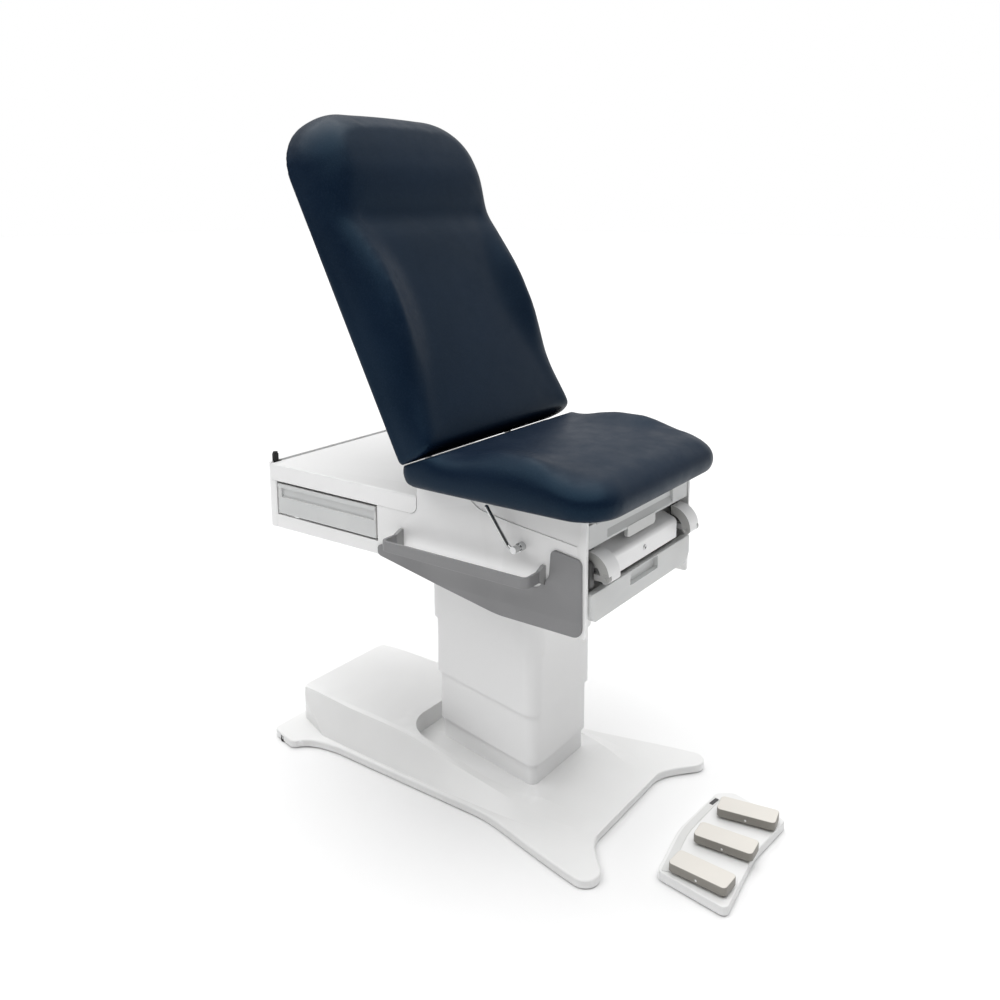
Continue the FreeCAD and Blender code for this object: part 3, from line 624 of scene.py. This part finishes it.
# ---------------------------------------------------------------- small fittings
def turned(name, profile, centre, slot):
    """Piece turned about the Y axis. profile gives (radius, y) points, the first and last at radius 0."""
    sides = 32
    angles = np.arange(sides) * 2.0 * math.pi / sides
    rings = [np.stack([radius * np.sin(angles), np.full(sides, y), radius * np.cos(angles)], -1)
             for radius, y in profile[1:-1]]
    poles = [(0, profile[0][1], 0), (0, profile[-1][1], 0)]
    points = np.concatenate(rings + [poles])
    last_ring = (len(rings) - 1) * sides
    first_pole, last_pole = len(points) - 2, len(points) - 1
    faces = []
    for ring in range(0, last_ring, sides):
        for i in range(sides):
            a, b = ring + i, ring + (i + 1) % sides
            faces.append((a, b, b + sides, a + sides))
    for i in range(sides):
        after = (i + 1) % sides
        faces.append((after, i, first_pole))
        faces.append((last_ring + i, last_ring + after, last_pole))
    piece = new_piece(name, points + np.array(centre), faces, slot)
    soften(piece, FITTING_EDGE, 1)
    return piece


def hood_lock():
    """Small key lock in the middle of the stirrup hood."""
    centre = (0.0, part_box("stirrup_cover")[0].y, LOCK_HEIGHT)
    barrel_profile = [
        (0, 0.002), (0.0075, 0.002), (0.0075, -0.0008), (0.0065, -0.0018),
        (0.0052, -0.0018), (0.0048, -0.0008), (0, -0.0008),
    ]
    barrel = turned("hood_lock_barrel", barrel_profile, centre, "chrome")
    half_width, half_height = 0.0007, 0.0034
    corners = [(x, y, z) for x in (-half_width, half_width) for y in (-0.0014, 0.001)
               for z in (-half_height, half_height)]
    faces = [(0, 1, 3, 2), (4, 6, 7, 5), (0, 4, 5, 1), (2, 3, 7, 6), (0, 2, 6, 4), (1, 5, 7, 3)]
    key_slot = new_piece("hood_lock_slot", np.array(corners) + np.array(centre), faces, "dark_plastic", False)
    soften(key_slot, FITTING_EDGE, 1)
    for piece in (barrel, key_slot):
        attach(piece, "table_body")


def strip_inlay():
    """Plain dark inlay at the right end of the foot control's strip."""
    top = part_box("foot_control_strip")[1].z
    turn = math.radians(-9.0)
    sides = 24
    outline = []
    for step in range(sides):
        angle = 2.0 * math.pi * (step + 0.5) / sides
        x = 0.0135 * math.copysign(1.0, math.cos(angle)) + 0.002 * math.cos(angle)
        y = 0.0035 * math.copysign(1.0, math.sin(angle)) + 0.002 * math.sin(angle)
        outline.append((INLAY_PLACE[0] + x * math.cos(turn) - y * math.sin(turn),
                        INLAY_PLACE[1] + x * math.sin(turn) + y * math.cos(turn)))
    low = [(x, y, top - 0.0004) for x, y in outline]
    high = [(x, y, top + 0.0006) for x, y in outline]
    faces = [tuple(reversed(range(sides))), tuple(range(sides, 2 * sides))]
    for i in range(sides):
        after = (i + 1) % sides
        faces.append((i, after, sides + after, sides + i))
    piece = new_piece("foot_control_inlay", low + high, faces, "dark_plastic", False)
    soften(piece, FITTING_EDGE, 1)
    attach(piece, "foot_control")


# ---------------------------------------------------------------- carried-over nodes
def dress_nodes():
    """Give every node of the frame its slot's material, and the stirrups their own two."""
    slots = {part["node"]: part["material_slot"] for part in frame["record"]["subparts"]}
    looks = {"stirrup_cup": "cup_plastic", "stirrup_arm": "arm_grey"}
    for name, node in NODES.items():
        dress(node, looks.get(name.rsplit("_", 1)[0], slots[name]))
        soften(node, NODE_EDGE)


# ---------------------------------------------------------------- studio
def camera():
    data = bpy.data.cameras.new("camera")
    data.sensor_width = 36.0
    data.lens = CAMERA_LENS
    data.shift_x, data.shift_y = CAMERA_SHIFT
    data.clip_end = 60.0
    view = bpy.data.objects.new("camera", data)
    view.location = CAMERA_PLACE
    view.rotation_euler = (math.radians(90.0 - CAMERA_ELEVATION), 0.0, math.radians(CAMERA_AZIMUTH))
    bpy.context.scene.collection.objects.link(view)
    bpy.context.scene.camera = view


def studio():
    """White backdrop with soft overhead light, and a room that is brighter up and to +X."""
    world = bpy.data.worlds.new("studio")
    world.use_nodes = True
    tree = world.node_tree
    white = tree.nodes["Background"]
    white.inputs["Color"].default_value = (1.0, 1.0, 1.0, 1.0)
    white.inputs["Strength"].default_value = 1.0
    ahead = tree.nodes.new("ShaderNodeVectorMath")
    ahead.operation = "DOT_PRODUCT"
    ahead.inputs[1].default_value = ROOM_DIRECTION
    tree.links.new(tree.nodes.new("ShaderNodeTexCoord").outputs["Generated"], ahead.inputs[0])
    level = tree.nodes.new("ShaderNodeMapRange")
    set_range(level, ROOM_SPAN, ROOM_LEVELS)
    tree.links.new(ahead.outputs["Value"], level.inputs["Value"])
    room = tree.nodes.new("ShaderNodeBackground")
    tree.links.new(level.outputs["Result"], room.inputs["Strength"])
    pick = tree.nodes.new("ShaderNodeMixShader")
    tree.links.new(tree.nodes.new("ShaderNodeLightPath").outputs["Is Camera Ray"], pick.inputs["Fac"])
    tree.links.new(room.outputs["Background"], pick.inputs[1])
    tree.links.new(white.outputs["Background"], pick.inputs[2])
    tree.links.new(pick.outputs["Shader"], tree.nodes["World Output"].inputs["Surface"])
    bpy.context.scene.world = world
    bpy.context.scene.view_settings.view_transform = "Standard"
    data = bpy.data.lights.new("overhead", "SUN")
    data.energy = OVERHEAD_STRENGTH
    data.angle = OVERHEAD_SPREAD
    light = bpy.data.objects.new("overhead", data)
    light.rotation_euler = Vector(OVERHEAD_FROM).to_track_quat("Z", "Y").to_euler()
    bpy.context.scene.collection.objects.link(light)


def floor():
    """Plain pale floor."""
    g = Graph("studio_floor")
    g.set(Base_Color=g.blend(g.noise(1.2), (0.84, 0.84, 0.84), (0.86, 0.86, 0.86)), Roughness=0.7)
    corners = [(x * FLOOR_HALF, y * FLOOR_HALF, 0) for x, y in ((-1, -1), (1, -1), (1, 1), (-1, 1))]
    piece = new_piece("floor", corners, [(0, 1, 2, 3)], smooth=False)
    piece.data.materials.append(g.material)


camera()
studio()
floor()
dress_nodes()
seat_cushion()
backrest_cushion()
extension_cushion()
hood_lock()
strip_inlay()
